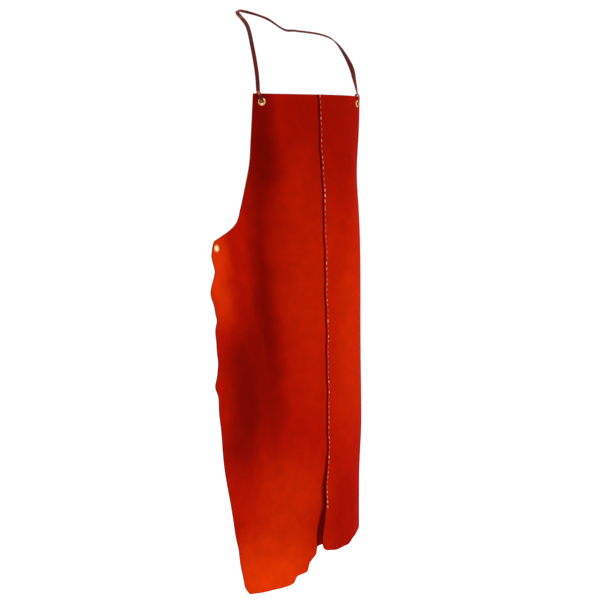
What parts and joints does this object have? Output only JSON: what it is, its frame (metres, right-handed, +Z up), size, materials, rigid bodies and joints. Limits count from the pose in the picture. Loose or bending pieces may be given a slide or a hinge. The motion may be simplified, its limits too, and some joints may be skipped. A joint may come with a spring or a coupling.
{
  "type": "leather bib apron",
  "caption": "Long bib apron of rust-red split leather: two lapped panels topstitched down the middle, brass eyelets and a flat leather neck strap.",
  "frame": {"origin": "where the back of the neck strap rests on the wearer's neck or on a hook", "axes": "+Z up, the apron's front faces -Y, +X to the wearer's left"},
  "size_m": [0.4559, 0.4072, 1.2943],
  "materials": {
    "split_leather": "rust-red suede split",
    "leather_lace": "dark maroon leather lace",
    "brass": "polished",
    "cotton_thread": "pale twisted cotton"
  },
  "bodies": {
    "strap": {"neck_strap": "leather_lace"},
    "bib": {"right_bib": "split_leather", "left_bib": "split_leather", "right_lace_loop": "leather_lace", "left_lace_loop": "leather_lace", "right_bib_eyelet": "brass", "right_bib_washer": "brass", "left_bib_eyelet": "brass", "left_bib_washer": "brass", "bib_seam_thread": "cotton_thread"},
    "skirt": {"right_skirt": "split_leather", "left_skirt": "split_leather", "skirt_seam_thread": "cotton_thread"},
    "right_side": {"right_wing": "split_leather", "right_waist_eyelet": "brass", "right_waist_washer": "brass"},
    "left_side": {"left_wing": "split_leather", "left_waist_eyelet": "brass", "left_waist_washer": "brass"}
  },
  "joints": [
    {"name": "strap_swing", "type": "hinge", "parent": "strap", "child": "bib", "pos_m": [0.06337, -0.24299, -0.1962], "axis": [0.9621, 0.2726, 0.0004], "range_deg": [-35, 20]},
    {"name": "waist_fold", "type": "hinge", "parent": "bib", "child": "skirt", "pos_m": [0.073, -0.31529, -0.42], "axis": [-1, 0, 0], "range_deg": [0, 75], "stiffness_Nm_per_rad": 1, "springref_deg": -28.65},
    {"name": "right_side_fold", "type": "hinge", "parent": "skirt", "child": "right_side", "pos_m": [-0.12007, -0.28966, -0.447], "axis": [-0.0196, 0.1105, 0.9937], "range_deg": [-100, 30], "stiffness_Nm_per_rad": 1.5},
    {"name": "left_side_fold", "type": "hinge", "parent": "skirt", "child": "left_side", "pos_m": [0.20652, -0.18288, -0.44712], "axis": [-0.0335, -0.0156, 0.9993], "range_deg": [-75, 40], "stiffness_Nm_per_rad": 1.5}
  ]
}
